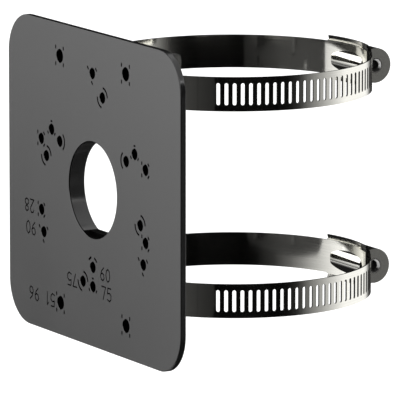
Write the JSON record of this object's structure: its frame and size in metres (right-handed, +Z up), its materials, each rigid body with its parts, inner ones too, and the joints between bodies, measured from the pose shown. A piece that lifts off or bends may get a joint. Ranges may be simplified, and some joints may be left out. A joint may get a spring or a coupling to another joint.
{
  "type": "pole mount bracket",
  "caption": "Black drilled mounting plate with a central cable hole, held to a pole by slotted stainless worm drive clamps behind it.",
  "frame": {"origin": "centre of the cable hole on the front face of the mounting plate", "axes": "+Z up, +X to the right seen from the front, +Y back towards the pole"},
  "size_m": [0.1344, 0.127, 0.122],
  "materials": {
    "black_paint": "satin black powder coat",
    "stainless_band": "bright polished stainless strip",
    "stainless_housing": "bright pressed stainless",
    "screw_steel": "turned steel"
  },
  "bodies": {
    "bracket": {"mounting_plate": "black_paint", "backing_plate": "black_paint", "upper_saddle": "black_paint", "lower_saddle": "black_paint", "upper_band": "stainless_band", "lower_band": "stainless_band", "upper_housing": "stainless_housing", "lower_housing": "stainless_housing"},
    "upper_screw": {"upper_worm_screw": "screw_steel"},
    "lower_screw": {"lower_worm_screw": "screw_steel"}
  },
  "joints": [
    {"name": "upper_screw_turn", "type": "hinge", "parent": "bracket", "child": "upper_screw", "pos_m": [0.01036, 0.1202, 0.03997], "axis": [1, 0, 0], "continuous": true},
    {"name": "lower_screw_turn", "type": "hinge", "parent": "bracket", "child": "lower_screw", "pos_m": [0.01036, 0.1202, -0.03934], "axis": [1, 0, 0], "continuous": true}
  ]
}
